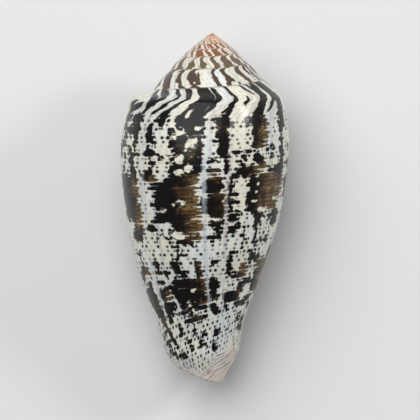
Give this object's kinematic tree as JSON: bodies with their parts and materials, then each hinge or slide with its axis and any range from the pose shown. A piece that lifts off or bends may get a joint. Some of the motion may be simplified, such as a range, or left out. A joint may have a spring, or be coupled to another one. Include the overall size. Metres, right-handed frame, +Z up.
{
  "type": "cone shell",
  "caption": "Cone shell of a sea snail, lying on its narrow mouth, with a low pointed spire, a round shoulder and dark blotches and dotted rows on glossy cream.",
  "frame": {"origin": "middle of the footprint, on the surface that the shell lies on", "axes": "+Z up, +Y along the shell towards the apex, +X away from the lip"},
  "size_m": [0.0292, 0.0598, 0.0265],
  "materials": {
    "shell": "glossy, cream with near-black and brown blotches and rows of dots"
  },
  "bodies": {
    "root": {"shell": "shell"}
  },
  "joints": []
}
